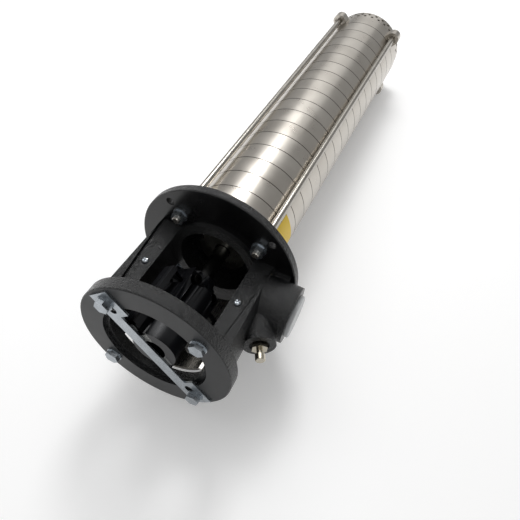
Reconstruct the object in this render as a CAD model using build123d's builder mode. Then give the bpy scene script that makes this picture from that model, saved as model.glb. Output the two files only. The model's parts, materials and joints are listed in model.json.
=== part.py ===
from build123d import *
from math import cos, hypot, pi, radians, sin
import os

# An immersible multistage pump, lying on its side and without its motor.
# Millimetres. The shaft runs along Y, with the motor end at -Y and the suction end at +Y.
# The origin is the centre of the seat on the tank flange, +X points out of the discharge port, +Z is up.

# Fits between pieces
shaft_fit = 0.02  # impellers, pipes and the coupling on the shaft, radial
running_fit = 0.05  # bearing sleeve in its bush, radial
neck_gap = 0.3  # impeller neck in its neck ring, radial
screw_gap = 0.15  # screws, pins and rods in their holes, radial
spigot_gap = 0.15  # spigots in sleeves, radial
split_gap = 0.8  # between the two halves of the coupling

# Pump head: the casting between motor and tank
head_length = 133.5
motor_flange_radius = 80.0
motor_flange_thickness = 14.5
motor_spigot_radius = 55.0
motor_spigot_depth = 4.8
motor_bolt_edge = 15.0  # from each bolt's centre to the rim of the flange
tank_flange_radius = 90.0
tank_flange_thickness = 8.5
tank_bolt_edge = 10.0
tank_hole_radius = 4.5
tank_seat_inner_radius = 70.0
tank_seat_step = 1.0
flange_chamfer = 1.0
bolt_angle = 45.0  # motor bolts, tie rods, tank holes and ears share these four directions

# Bell between the flanges, open above and below
bell_radius = 50.5
leg_radius_at_motor = 72.6
leg_radius_at_tank = 70.6
strip_half_height = 27.0
ridge_half_height = 30.0
ridge_foot_at_motor = 55.8
ridge_foot_at_tank = 65.1
groove_width = 1.6
groove_depth = 1.5

# Seal well in the middle of the tank flange
well_radius = 40.0
well_collar_height = 5.8
well_floor = 8.0
well_floor_thickness = 7.0

# Discharge port
port_y = -34.4
port_face_x = 99.3
barrel_radius = 30.0
barrel_foot_x = 60.0
block_outer_x = 83.0
block_half_height = 23.5
port_thread_radius = 19.5
port_thread_length = 18.0
port_counterbore_radius = 21.6
port_counterbore_depth = 4.0
port_chamber_radius = 17.0
port_chamber_foot_x = 64.0
passage_inner_x = 46.5
passage_turn_y = 2.0
passage_outer_x = 75.0
passage_width = 8.0
passage_length = 28.0

# Cap pressed into the mouth of the discharge port
cap_radius = 22.4
cap_thickness = 3.4
cap_stand_off = 1.0
cap_wall = 1.6
cap_chamfer = 0.8
cap_end_gap = 0.5

# Vent boss and its bleed plug
vent_x = 84.5
vent_y = -82.0
vent_tilt = 28.0
vent_boss_radius = 16.5
vent_boss_length = 34.0
vent_spot_radius = 10.0
vent_spot_depth = 2.0
vent_thread_radius = 6.0
vent_thread_length = 14.0
vent_bleed_radius = 2.5
vent_bleed_length = 40.0
vent_hex_flats = 14.5
vent_hex_height = 6.0
spindle_radius = 3.2
spindle_depth = 5.0
spindle_neck = 5.0
spindle_cap_radius = 5.0
spindle_cap_length = 7.0
spindle_cap_chamfer = 0.6

# Fasteners
bolt_radius = 4.0
bolt_flats = 13.0
bolt_head_height = 5.3
washer_radius = 8.3
washer_thickness = 1.6
nut_height = 6.5
rod_radius = 4.0
rod_circle = 62.7
rod_tail = 3.0
rod_chamfer = 0.8
guard_screw_radius = 2.0
guard_screw_head_radius = 3.6
guard_screw_head_height = 2.4
guard_screw_length = 8.0
screw_head_taper = 12.0
guard_screw_x = 50.5
guard_screw_y = -66.0

# Transit bracket across the motor flange
bracket_thickness = 2.0
bracket_low_edge = -12.0
bracket_high_edge = 2.3
bracket_end_high_edge = 13.5
bracket_end_margin = 11.0  # from the centre of each bolt out to the bracket's end
bracket_end_width = 30.0
bracket_slot_shift = 5.0  # half the length by which each slot lets its bolt slide inwards

# Guard sheet over the lower window
guard_thickness = 1.0
guard_radius = 49.9
guard_motor_y = -117.0
guard_tank_y = -22.0
guard_flap_reach = 55.0
bead_height = 0.8
bead_width = 3.0
guard_bead_y = -23.0
guard_second_bead_y = -49.0
guard_band_y = -107.5
end_band_width = 9.0

# Coupling: two half shells clamped on the shaft
coupling_angle = -50.0  # direction of the split, seen from the motor
coupling_motor_y = -128.0
coupling_tank_y = -42.0
motor_bore_radius = 12.05
motor_bore_depth = 50.0
coupling_slim_radius = 23.0
coupling_wide_radius = 30.4
coupling_nose_radius = 20.0
coupling_wide_motor_y = -82.0
coupling_wide_tank_y = -56.0
coupling_taper_length = 6.0
flank_half_width = 22.8
flank_height = 12.9
flank_motor_y = -104.0
flank_tank_y = -47.0
ear_half_width = 42.0
ear_thickness = 7.0
ear_tank_y = -62.0
ear_rim_width = 5.6
ear_recess_depth = 2.5
ear_band_length = 24.0
ear_hole_radius = 2.1
ear_hole_place = 31.0
screw_seat_height = 7.0
screw_head_radius = 6.4
screw_head_height = 8.0
screw_socket_flats = 6.0
screw_socket_depth = 4.0
screw_length = 20.0
pocket_gap = 0.6
pump_screw_place = (14.5, -57.0)
motor_screw_place = (18.2, -96.0)
pin_radius = 2.5
pin_half_length = 13.0
pin_y = -66.0

# Shaft
shaft_radius = 8.0
stack_shaft_radius = 7.0
shaft_end_chamfer = 1.0
thread_radius = 5.0
shaft_tail = 3.0

# Shaft seal in the well
seal_bore_radius = 20.0
seal_flange_radius = 27.0
seal_flange_thickness = 3.0
seal_seat_reach = 2.0
seal_shaft_clearance = 1.0
seal_head_radius = 16.0
seal_face_radius = 13.0
seal_face_length = 3.0
seal_head_length = 19.0
seal_collar_length = 3.0

# Chamber stack
stage_count = 16
stage_pitch = 27.0
sleeve_radius = 56.5
sleeve_wall = 2.0
sleeve_chamfer = 0.4
discharge_ring_length = 47.5
floor_thickness = 1.5
neck_ring_radius = 20.0
neck_ring_length = 3.0
ring_cord_radius = 1.1
ring_groove_y = 10.5

# Impeller
impeller_radius = 46.0
impeller_back_y = 13.5  # back of the rear shroud, from its chamber's floor
shroud_thickness = 1.2
impeller_width = 5.5
eye_radius = 15.5
eye_wall = 1.5
hub_radius = 11.0
hub_length = 10.0
vane_count = 6
vane_thickness = 1.5
vane_inner_radius = 16.5
vane_tip_gap = 1.0
vane_sweep = 60.0
vane_lean = 35.0
pipe_wall = 2.5

# Suction end
inlet_length = 23.5
inlet_spigot_length = 5.0
ear_wall = 2.0
ear_radius = 9.5
ear_start = 6.5
ear_length = 14.0
ear_pocket_radius = 6.4
ear_pocket_depth = 2.5
bearing_radius = 13.0
bearing_length = 12.0
spider_hub_radius = 18.0
spider_arm_width = 8.0
spider_arm_overlap = 1.0
nut_flats = 16.0
end_nut_height = 8.0
strainer_radius = 54.7
strainer_wall = 1.0
strainer_length = 20.8
strainer_rows = 2
strainer_first_row = 5.5
strainer_row_holes = 30
strainer_hole_radius = 2.2
strainer_row_pitch = 6.5
strainer_foot_radius = 51.0
strainer_end_hole_radius = 3.2
strainer_end_hole_pitch = 11.6
strainer_end_radii = (22.0, 34.0, 45.0)

# Places that follow from the sizes above
motor_bolt_circle = motor_flange_radius - motor_bolt_edge
tank_bolt_circle = tank_flange_radius - tank_bolt_edge
bracket_reach = motor_bolt_circle + bracket_end_margin
bracket_end_inner = bracket_reach - bracket_end_width
motor_face = -head_length
motor_flange_back = motor_face + motor_flange_thickness
tank_flange_back = -tank_flange_thickness
collar_top = tank_flange_back - well_collar_height
sleeve_inner_radius = sleeve_radius - sleeve_wall
head_spigot_radius = sleeve_inner_radius - spigot_gap
head_spigot_end = well_floor + well_floor_thickness
ring_groove_radius = sleeve_inner_radius - 2 * ring_cord_radius - spigot_gap
ring_groove_start = ring_groove_y - ring_cord_radius - spigot_gap
ring_groove_end = ring_groove_y + ring_cord_radius + spigot_gap
guard_flap_start = (guard_radius**2 - (strip_half_height + guard_thickness) ** 2) ** 0.5 - guard_thickness
ring_start = -tank_seat_step
stack_start = discharge_ring_length
stack_end = stack_start + stage_count * stage_pitch
vane_start = impeller_back_y + shroud_thickness
vane_end = vane_start + impeller_width
vane_outer_radius = impeller_radius - vane_tip_gap
eye_end = stage_pitch + floor_thickness
neck_bore_radius = eye_radius + eye_wall + neck_gap
inlet_end = stack_end + inlet_length
strainer_end_y = inlet_end + strainer_length
inlet_inner_radius = sleeve_radius - sleeve_wall - ear_wall
inlet_spigot_radius = strainer_radius - strainer_wall - spigot_gap
ear_end = stack_end + ear_start + ear_length
seal_face_y = head_spigot_end + seal_seat_reach
shoulder_y = seal_face_y + seal_head_length
bearing_end = inlet_end
pipe_radius = stack_shaft_radius + pipe_wall
shaft_start = coupling_motor_y + motor_bore_depth
shaft_end = bearing_end + end_nut_height + shaft_tail
rod_start = tank_flange_back - washer_thickness - nut_height - rod_tail
os.makedirs("parts", exist_ok=True)


# A plane square to the shaft, drawn as seen from the motor and extruded towards the motor
def across(y):
    return Plane.XZ.offset(-y)


# The same plane turned so that its first axis lies in the split of the coupling
def coupling_plane(y):
    split_direction = (cos(radians(coupling_angle)), 0, sin(radians(coupling_angle)))
    return Plane(origin=(0, y, 0), x_dir=split_direction, z_dir=(0, -1, 0))


# A plane parallel to the split, at a height above it, with its first axis along the shaft
def above_split(height, place_across, y):
    tilt = radians(coupling_angle)
    out_x, out_z = -sin(tilt), cos(tilt)
    x = place_across * cos(tilt) + height * out_x
    z = place_across * sin(tilt) + height * out_z
    return Plane(origin=(x, y, z), x_dir=(0, 1, 0), z_dir=(out_x, 0, out_z))


# A closed outline of (radius, length) points, to be turned about the shaft
def outline(*points):
    with BuildSketch(Plane.XY) as section:
        with BuildLine():
            Polyline(*points, close=True)
        make_face()
    return section.sketch


# A ring of rectangular section about the shaft
def ring_outline(inner, outer, start, end):
    return outline((inner, start), (outer, start), (outer, end), (inner, end))


def hexagon(flats):
    return RegularPolygon(flats / 2, 6, major_radius=False)


def save(part, name):
    part.label = name
    export_step(part, f"parts/{name}.step")


# The vent boss and the discharge port each have a plane that faces out of them
vent_plane = Plane(
    origin=(vent_x, vent_y, 0),
    x_dir=(0, 0, 1),
    z_dir=(sin(radians(vent_tilt)), -cos(radians(vent_tilt)), 0),
)
port_plane = Plane(origin=(port_face_x, port_y, 0), x_dir=(0, 1, 0), z_dir=(1, 0, 0))

# Pump head: one casting with motor flange, two legs, tank flange, discharge barrel and vent boss
with BuildPart() as pump_head:
    # A tapered bell, whose two legs are left over once its upper and lower windows are cut
    bell = outline(
        (bell_radius, motor_flange_back),
        (leg_radius_at_motor, motor_flange_back),
        (leg_radius_at_tank, tank_flange_back),
        (bell_radius, tank_flange_back),
    )
    revolve(bell, axis=Axis.Y)
    for side in (1, -1):
        with BuildSketch(Plane.XY.offset(side * strip_half_height)) as window:
            with BuildLine():
                Polyline(
                    (-ridge_foot_at_motor, motor_flange_back),
                    (ridge_foot_at_motor, motor_flange_back),
                    (ridge_foot_at_tank, tank_flange_back),
                    (-ridge_foot_at_tank, tank_flange_back),
                    close=True,
                )
            make_face()
        extrude(amount=side * leg_radius_at_motor, mode=Mode.SUBTRACT)
        with BuildSketch(Plane.XY.offset(side * ridge_half_height)) as above_ridges:
            with Locations((0, (motor_flange_back + tank_flange_back) / 2)):
                Rectangle(2 * leg_radius_at_motor, tank_flange_back - motor_flange_back)
        extrude(amount=side * leg_radius_at_motor, mode=Mode.SUBTRACT)
        # Narrow groove where each strip meets its ridge
        with BuildSketch(Plane.XY.offset(side * strip_half_height)) as groove:
            with BuildLine():
                Polyline(
                    (ridge_foot_at_motor, motor_flange_back),
                    (ridge_foot_at_tank, tank_flange_back),
                    (ridge_foot_at_tank - groove_width, tank_flange_back),
                    (ridge_foot_at_motor - groove_width, motor_flange_back),
                    close=True,
                )
            make_face()
            mirror(about=Plane.YZ)
        extrude(amount=-side * groove_depth, mode=Mode.SUBTRACT)
    # Motor flange, with the recess that centres the motor
    motor_flange = outline(
        (bell_radius, motor_flange_back),
        (bell_radius, motor_face + motor_spigot_depth),
        (motor_spigot_radius, motor_face + motor_spigot_depth),
        (motor_spigot_radius, motor_face),
        (motor_flange_radius - flange_chamfer, motor_face),
        (motor_flange_radius, motor_face + flange_chamfer),
        (motor_flange_radius, motor_flange_back - flange_chamfer),
        (motor_flange_radius - flange_chamfer, motor_flange_back),
    )
    revolve(motor_flange, axis=Axis.Y)
    # Tank flange, seal well with its collar, and the spigot that centres the chamber stack
    tank_flange = outline(
        (seal_bore_radius, well_floor),
        (well_radius, well_floor),
        (well_radius, collar_top),
        (bell_radius, collar_top),
        (bell_radius, tank_flange_back),
        (tank_flange_radius - flange_chamfer, tank_flange_back),
        (tank_flange_radius, tank_flange_back + flange_chamfer),
        (tank_flange_radius, 0),
        (tank_seat_inner_radius, 0),
        (tank_seat_inner_radius, ring_start),
        (head_spigot_radius, ring_start),
        (head_spigot_radius, head_spigot_end),
        (seal_bore_radius, head_spigot_end),
    )
    revolve(tank_flange, axis=Axis.Y)
    # Discharge barrel, and the block that carries its passage to the tank flange
    with BuildSketch(Plane.YZ.offset(barrel_foot_x)) as barrel:
        with Locations((port_y, 0)):
            Circle(barrel_radius)
    extrude(amount=port_face_x - barrel_foot_x)
    with BuildSketch(Plane.XY) as block:
        with Locations(((barrel_foot_x + block_outer_x) / 2, (port_y + tank_flange_back) / 2)):
            Rectangle(block_outer_x - barrel_foot_x, tank_flange_back - port_y)
    extrude(amount=block_half_height, both=True)
    # Vent boss beside the barrel, tilted outwards
    with BuildSketch(vent_plane) as vent_boss:
        Circle(vent_boss_radius)
    extrude(amount=-vent_boss_length)
    with Locations(vent_plane):
        CounterBoreHole(vent_thread_radius, vent_spot_radius, vent_spot_depth, vent_thread_length)
        Hole(vent_bleed_radius, vent_bleed_length)
    # Port bore with the water chamber behind it
    with Locations(port_plane):
        CounterBoreHole(
            port_thread_radius,
            port_counterbore_radius,
            port_counterbore_depth,
            port_counterbore_depth + port_thread_length,
        )
        Hole(port_chamber_radius, port_face_x - port_chamber_foot_x)
    # Water passage: straight up through the spigot, then outwards to the port
    with BuildSketch(across(head_spigot_end)) as passage_mouth:
        with Locations((passage_inner_x, 0)):
            SlotOverall(passage_length, passage_width, rotation=90)
    extrude(amount=head_spigot_end - passage_turn_y, mode=Mode.SUBTRACT)
    passage_dx = passage_outer_x - passage_inner_x
    passage_dy = port_y - passage_turn_y
    passage_plane = Plane(
        origin=(passage_inner_x, passage_turn_y, 0),
        x_dir=(0, 0, 1),
        z_dir=(passage_dx, passage_dy, 0),
    )
    with BuildSketch(passage_plane) as passage:
        SlotOverall(passage_length, passage_width)
    extrude(amount=hypot(passage_dx, passage_dy), mode=Mode.SUBTRACT)
    # Groove for the ring that seals the first sleeve
    revolve(
        ring_outline(ring_groove_radius, sleeve_radius, ring_groove_start, ring_groove_end),
        axis=Axis.Y,
        mode=Mode.SUBTRACT,
    )
    # Holes for motor bolts, tank bolts and tie rods, all in the same four directions
    with BuildSketch(across(motor_flange_back)) as motor_holes:
        with PolarLocations(motor_bolt_circle, 4, start_angle=bolt_angle):
            Circle(bolt_radius + screw_gap)
    extrude(amount=motor_flange_thickness, mode=Mode.SUBTRACT)
    with BuildSketch(across(0)) as tank_holes:
        with PolarLocations(tank_bolt_circle, 4, start_angle=bolt_angle):
            Circle(tank_hole_radius)
        with PolarLocations(rod_circle, 4, start_angle=bolt_angle):
            Circle(rod_radius + screw_gap)
    extrude(amount=tank_flange_thickness, mode=Mode.SUBTRACT)
    # Screw holes in the four strips
    for side in (1, -1):
        with BuildSketch(Plane.XY.offset(side * strip_half_height)) as strip_holes:
            with Locations((guard_screw_x, guard_screw_y), (-guard_screw_x, guard_screw_y)):
                Circle(guard_screw_radius + screw_gap)
        extrude(amount=-side * (guard_screw_length + screw_gap), mode=Mode.SUBTRACT)
save(pump_head.part, "pump_head")

# Cap in the discharge port: a disc with a short hollow spigot
with BuildPart() as port_cover:
    with BuildSketch(port_plane.offset(cap_stand_off)) as cap_disc:
        Circle(cap_radius)
    extrude(amount=cap_thickness)
    chamfer(port_cover.faces().sort_by(Axis.X)[-1].edges(), cap_chamfer)
    with BuildSketch(port_plane.offset(cap_stand_off)) as cap_spigot:
        Circle(port_counterbore_radius - screw_gap)
        Circle(port_counterbore_radius - screw_gap - cap_wall, mode=Mode.SUBTRACT)
    extrude(amount=-(port_counterbore_depth + cap_stand_off - cap_end_gap))
save(port_cover.part, "port_cover")

# Bleed plug: hexagon in the spotface of the vent boss, threaded shank below it
vent_seat = vent_plane.offset(-vent_spot_depth)
vent_hex_top = vent_seat.offset(vent_hex_height)
with BuildPart() as vent_plug:
    with BuildSketch(vent_seat) as plug_hexagon:
        hexagon(vent_hex_flats)
    extrude(amount=vent_hex_height)
    with BuildSketch(vent_seat) as plug_shank:
        Circle(vent_thread_radius - screw_gap)
    extrude(amount=vent_spot_depth + screw_gap - vent_thread_length)
    with Locations(vent_hex_top):
        CounterBoreHole(vent_bleed_radius / 2, spindle_radius + running_fit, spindle_depth)
save(vent_plug.part, "vent_plug")

# Bleed spindle with its round cap, screwed into the plug
with BuildPart() as vent_spindle:
    with BuildSketch(vent_hex_top.offset(-spindle_depth)) as spindle_stem:
        Circle(spindle_radius)
    extrude(amount=spindle_depth + spindle_neck)
    with BuildSketch(vent_hex_top.offset(spindle_neck)) as spindle_cap:
        Circle(spindle_cap_radius)
    extrude(amount=spindle_cap_length)
    cap_rims = vent_spindle.edges().filter_by(GeomType.CIRCLE).group_by(SortBy.RADIUS)[-1]
    chamfer(cap_rims, spindle_cap_chamfer)
save(vent_spindle.part, "vent_spindle")

# Transit bracket: a zinc strip between two opposite motor bolts, with wide slotted ends
bracket_plane = Plane(
    origin=(0, motor_face, 0),
    x_dir=(cos(radians(-bolt_angle)), 0, sin(radians(-bolt_angle))),
    z_dir=(0, -1, 0),
)
with BuildPart() as transit_bracket:
    with BuildSketch(bracket_plane) as strip:
        with BuildLine():
            Polyline(
                (-bracket_reach, bracket_low_edge),
                (bracket_reach, bracket_low_edge),
                (bracket_reach, bracket_end_high_edge),
                (bracket_end_inner, bracket_end_high_edge),
                (bracket_end_inner, bracket_high_edge),
                (-bracket_end_inner, bracket_high_edge),
                (-bracket_end_inner, bracket_end_high_edge),
                (-bracket_reach, bracket_end_high_edge),
                close=True,
            )
        make_face()
        slot_place = motor_bolt_circle - bracket_slot_shift
        with Locations((-slot_place, 0), (slot_place, 0)):
            SlotCenterToCenter(2 * bracket_slot_shift, 2 * (bolt_radius + screw_gap), mode=Mode.SUBTRACT)
    extrude(amount=bracket_thickness)
save(transit_bracket.part, "transit_bracket")

# Motor bolts: the two that hold the bracket stand higher by its thickness
bolt_seats = [0, bracket_thickness, 0, bracket_thickness]
with BuildPart() as motor_bolt_washers:
    for number, lift in enumerate(bolt_seats):
        with BuildSketch(across(motor_face - lift)) as washer:
            with PolarLocations(motor_bolt_circle, 1, start_angle=bolt_angle + 90 * number):
                Circle(washer_radius)
                Circle(bolt_radius + screw_gap, mode=Mode.SUBTRACT)
        extrude(amount=washer_thickness)
save(motor_bolt_washers.part, "motor_bolt_washers")

with BuildPart() as motor_bolts:
    for number, lift in enumerate(bolt_seats):
        head_seat = motor_face - lift - washer_thickness
        with BuildSketch(across(head_seat)) as bolt_head:
            with PolarLocations(motor_bolt_circle, 1, start_angle=bolt_angle + 90 * number):
                hexagon(bolt_flats)
        extrude(amount=bolt_head_height)
        with BuildSketch(across(motor_flange_back)) as bolt_shank:
            with PolarLocations(motor_bolt_circle, 1, start_angle=bolt_angle + 90 * number):
                Circle(bolt_radius)
        extrude(amount=motor_flange_back - head_seat)
save(motor_bolts.part, "motor_bolts")

# Guard sheet, screwed to the lower strips by its two flaps
with BuildPart() as rear_guard:
    with BuildSketch(across(guard_tank_y)) as sheet:
        Circle(guard_radius)
        Circle(guard_radius - guard_thickness, mode=Mode.SUBTRACT)
        with Locations((0, guard_radius - strip_half_height - guard_thickness)):
            Rectangle(2 * guard_radius, 2 * guard_radius, mode=Mode.SUBTRACT)
        with Locations((0, -strip_half_height - guard_thickness / 2)):
            Rectangle(2 * guard_flap_reach, guard_thickness)
            Rectangle(2 * guard_flap_start, guard_thickness, mode=Mode.SUBTRACT)
    extrude(amount=guard_tank_y - guard_motor_y)
    # Two beads and a doubled end band stand in from the sheet
    beads = ((guard_bead_y, bead_width), (guard_second_bead_y, bead_width), (guard_band_y, end_band_width))
    for place, width in beads:
        with BuildSketch(across(place)) as bead:
            Circle(guard_radius - guard_thickness / 2)
            Circle(guard_radius - guard_thickness - bead_height, mode=Mode.SUBTRACT)
            with Locations((0, guard_radius - strip_half_height - guard_thickness)):
                Rectangle(2 * guard_radius, 2 * guard_radius, mode=Mode.SUBTRACT)
        extrude(amount=width)
    with BuildSketch(Plane.XY.offset(-strip_half_height)) as flap_holes:
        with Locations((guard_screw_x, guard_screw_y), (-guard_screw_x, guard_screw_y)):
            Circle(guard_screw_radius + screw_gap)
    extrude(amount=-guard_thickness, mode=Mode.SUBTRACT)
save(rear_guard.part, "rear_guard")

# Guard screws: the lower pair holds the sheet, the upper pair stands on the bare strips
with BuildPart() as guard_screws:
    for side, seat in ((1, strip_half_height), (-1, strip_half_height + guard_thickness)):
        with BuildSketch(Plane.XY.offset(side * seat)) as screw_heads:
            with Locations((guard_screw_x, guard_screw_y), (-guard_screw_x, guard_screw_y)):
                Circle(guard_screw_head_radius)
        extrude(amount=side * guard_screw_head_height, taper=screw_head_taper)
        with BuildSketch(Plane.XY.offset(side * seat)) as screw_shanks:
            with Locations((guard_screw_x, guard_screw_y), (-guard_screw_x, guard_screw_y)):
                Circle(guard_screw_radius)
        extrude(amount=-side * guard_screw_length)
save(guard_screws.part, "guard_screws")

# Coupling body before it is split: slim at the motor, wide over the pump shaft, rounded at its end
coupling_body = outline(
    (0, coupling_motor_y),
    (coupling_slim_radius, coupling_motor_y),
    (coupling_slim_radius, coupling_wide_motor_y - coupling_taper_length),
    (coupling_wide_radius, coupling_wide_motor_y),
    (coupling_wide_radius, coupling_wide_tank_y),
    (coupling_nose_radius, coupling_tank_y),
    (0, coupling_tank_y),
)
coupling_bores = outline(
    (0, coupling_motor_y),
    (motor_bore_radius, coupling_motor_y),
    (motor_bore_radius, coupling_motor_y + motor_bore_depth),
    (shaft_radius + shaft_fit, coupling_motor_y + motor_bore_depth),
    (shaft_radius + shaft_fit, coupling_tank_y),
    (0, coupling_tank_y),
)
screw_places = [
    (sign * place, y) for place, y in (pump_screw_place, motor_screw_place) for sign in (1, -1)
]

# Front half: flat flanks beside the round body, with the screw heads in pockets
with BuildPart() as coupling_half_front:
    revolve(coupling_body, axis=Axis.Y)
    with BuildSketch(coupling_plane(flank_tank_y)) as flanks:
        with Locations((0, flank_height / 2)):
            Rectangle(2 * flank_half_width, flank_height)
    extrude(amount=flank_tank_y - flank_motor_y)
    split(bisect_by=above_split(split_gap / 2, 0, 0), keep=Keep.TOP)
    revolve(coupling_bores, axis=Axis.Y, mode=Mode.SUBTRACT)
    for place, y in screw_places:
        with Locations(above_split(screw_seat_height, place, y)):
            Hole(bolt_radius + screw_gap, screw_seat_height)
        with BuildSketch(above_split(screw_seat_height, place, y)) as pocket:
            Circle(screw_head_radius + pocket_gap)
        extrude(amount=coupling_wide_radius, mode=Mode.SUBTRACT)
    with BuildSketch(above_split(0, 0, pin_y)) as front_pin_hole:
        Circle(pin_radius + screw_gap)
    extrude(amount=pin_half_length + screw_gap, mode=Mode.SUBTRACT)
save(coupling_half_front.part, "coupling_half_front")

# Rear half: the same body on a wide ear plate, whose face is machined flat
with BuildPart() as coupling_half_rear:
    revolve(coupling_body, axis=Axis.Y)
    with BuildSketch(coupling_plane(ear_tank_y)) as ears:
        with Locations((0, -ear_thickness / 2)):
            Rectangle(2 * ear_half_width, ear_thickness)
    extrude(amount=ear_tank_y - coupling_motor_y)
    split(bisect_by=above_split(-split_gap / 2, 0, 0), keep=Keep.BOTTOM)
    # Recess along each ear, between the body and the raised rim
    recess_length = ear_tank_y - coupling_motor_y - ear_band_length
    recess_width = ear_half_width - ear_rim_width - flank_half_width
    recess_place = flank_half_width + recess_width / 2
    recess_floor = above_split(-split_gap / 2 - ear_recess_depth, 0, ear_tank_y - recess_length / 2)
    with BuildSketch(recess_floor) as recess:
        with Locations((0, recess_place), (0, -recess_place)):
            Rectangle(recess_length, recess_width)
    extrude(amount=ear_recess_depth, mode=Mode.SUBTRACT)
    revolve(coupling_bores, axis=Axis.Y, mode=Mode.SUBTRACT)
    for place, y in screw_places:
        with Locations(above_split(0, place, y)):
            Hole(bolt_radius + screw_gap, screw_length - screw_seat_height + screw_gap)
    for sign in (1, -1):
        with Locations(above_split(0, sign * ear_hole_place, coupling_motor_y + ear_band_length / 2)):
            Hole(ear_hole_radius, 2 * ear_thickness)
    with BuildSketch(above_split(0, 0, pin_y)) as rear_pin_hole:
        Circle(pin_radius + screw_gap)
    extrude(amount=-(pin_half_length + screw_gap), mode=Mode.SUBTRACT)
save(coupling_half_rear.part, "coupling_half_rear")

# Socket-head screws that clamp the two halves
with BuildPart() as coupling_screws:
    for place, y in screw_places:
        seat = above_split(screw_seat_height, place, y)
        with BuildSketch(seat) as socket_head:
            Circle(screw_head_radius)
        extrude(amount=screw_head_height)
        with BuildSketch(seat) as socket_shank:
            Circle(bolt_radius)
        extrude(amount=-screw_length)
        with BuildSketch(seat.offset(screw_head_height)) as socket:
            hexagon(screw_socket_flats)
        extrude(amount=-screw_socket_depth, mode=Mode.SUBTRACT)
save(coupling_screws.part, "coupling_screws")

# Pin through the pump shaft, held in both halves
with BuildPart() as coupling_pin:
    with BuildSketch(above_split(-pin_half_length, 0, pin_y)) as pin:
        Circle(pin_radius)
    extrude(amount=2 * pin_half_length)
save(coupling_pin.part, "coupling_pin")

# Pump shaft: thick through the seal, slimmer through the stack, threaded at its end
with BuildPart() as pump_shaft:
    shaft = outline(
        (0, shaft_start),
        (shaft_radius - shaft_end_chamfer, shaft_start),
        (shaft_radius, shaft_start + shaft_end_chamfer),
        (shaft_radius, shoulder_y),
        (stack_shaft_radius, shoulder_y),
        (stack_shaft_radius, bearing_end),
        (thread_radius, bearing_end),
        (thread_radius, shaft_end - shaft_end_chamfer),
        (thread_radius - shaft_end_chamfer, shaft_end),
        (0, shaft_end),
    )
    revolve(shaft, axis=Axis.Y)
    with BuildSketch(above_split(0, 0, pin_y)) as shaft_pin_hole:
        Circle(pin_radius + shaft_fit)
    extrude(amount=shaft_radius, both=True, mode=Mode.SUBTRACT)
save(pump_shaft.part, "pump_shaft")

# Stationary seal seat, with its flange on the floor of the well
with BuildPart() as seal_seat:
    seat_ring = outline(
        (shaft_radius + seal_shaft_clearance, well_floor - seal_flange_thickness),
        (seal_flange_radius, well_floor - seal_flange_thickness),
        (seal_flange_radius, well_floor),
        (seal_bore_radius - spigot_gap, well_floor),
        (seal_bore_radius - spigot_gap, head_spigot_end),
        (seal_face_radius, seal_face_y),
        (shaft_radius + seal_shaft_clearance, seal_face_y),
    )
    revolve(seat_ring, axis=Axis.Y)
save(seal_seat.part, "seal_seat")

# Turning seal head: its face runs on the seat, its collar stands on the shoulder of the shaft
with BuildPart() as seal_head:
    head_ring = outline(
        (shaft_radius + shaft_fit, seal_face_y),
        (seal_face_radius, seal_face_y),
        (seal_face_radius, seal_face_y + seal_face_length),
        (seal_head_radius, seal_face_y + seal_face_length),
        (seal_head_radius, shoulder_y - seal_collar_length),
        (seal_face_radius, shoulder_y - seal_collar_length),
        (seal_face_radius, shoulder_y),
        (shaft_radius + shaft_fit, shoulder_y),
    )
    revolve(head_ring, axis=Axis.Y)
save(seal_head.part, "seal_head")

# Ring that seals the first sleeve on the spigot of the head
with BuildPart() as head_seal_ring:
    with BuildSketch(Plane.XY) as ring_cord:
        with Locations((sleeve_inner_radius - ring_cord_radius, ring_groove_y)):
            Circle(ring_cord_radius)
    revolve(axis=Axis.Y)
save(head_seal_ring.part, "head_seal_ring")

# First sleeve, without a stage: water gathers here before the passage to the port
with BuildPart() as discharge_ring:
    revolve(ring_outline(sleeve_inner_radius, sleeve_radius, ring_start, stack_start), axis=Axis.Y)
    chamfer(discharge_ring.edges().group_by(Axis.Y)[-1].sort_by(SortBy.RADIUS)[-1], sleeve_chamfer)
save(discharge_ring.part, "discharge_ring")

# Stage chamber: a deep cup whose floor has the hole for the neck ring
with BuildPart() as chamber:
    cup = outline(
        (neck_ring_radius, 0),
        (sleeve_radius - sleeve_chamfer, 0),
        (sleeve_radius, sleeve_chamfer),
        (sleeve_radius, stage_pitch - sleeve_chamfer),
        (sleeve_radius - sleeve_chamfer, stage_pitch),
        (sleeve_inner_radius, stage_pitch),
        (sleeve_inner_radius, floor_thickness),
        (neck_ring_radius, floor_thickness),
    )
    revolve(cup, axis=Axis.Y)

# Impeller: hub and rear shroud, curved vanes, front shroud with its eye
with BuildPart() as impeller:
    rear_shroud = outline(
        (stack_shaft_radius + shaft_fit, impeller_back_y),
        (impeller_radius, impeller_back_y),
        (impeller_radius, vane_start),
        (hub_radius, vane_start),
        (hub_radius, impeller_back_y + hub_length),
        (stack_shaft_radius + shaft_fit, impeller_back_y + hub_length),
    )
    front_shroud = outline(
        (eye_radius, vane_end),
        (impeller_radius, vane_end),
        (impeller_radius, vane_end + shroud_thickness),
        (eye_radius + eye_wall, vane_end + shroud_thickness),
        (eye_radius + eye_wall, eye_end),
        (eye_radius, eye_end),
    )
    revolve(rear_shroud, axis=Axis.Y)
    revolve(front_shroud, axis=Axis.Y)
    with BuildSketch(across(vane_end)) as vanes:
        for number in range(vane_count):
            start = radians(360 * number / vane_count)
            end = start + radians(vane_sweep)
            with BuildLine(mode=Mode.PRIVATE) as vane:
                TangentArc(
                    (vane_inner_radius * cos(start), vane_inner_radius * sin(start)),
                    (vane_outer_radius * cos(end), vane_outer_radius * sin(end)),
                    tangent=(-sin(start - radians(vane_lean)), cos(start - radians(vane_lean))),
                )
            trace(vane.line, line_width=vane_thickness)
    extrude(amount=impeller_width)

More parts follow.
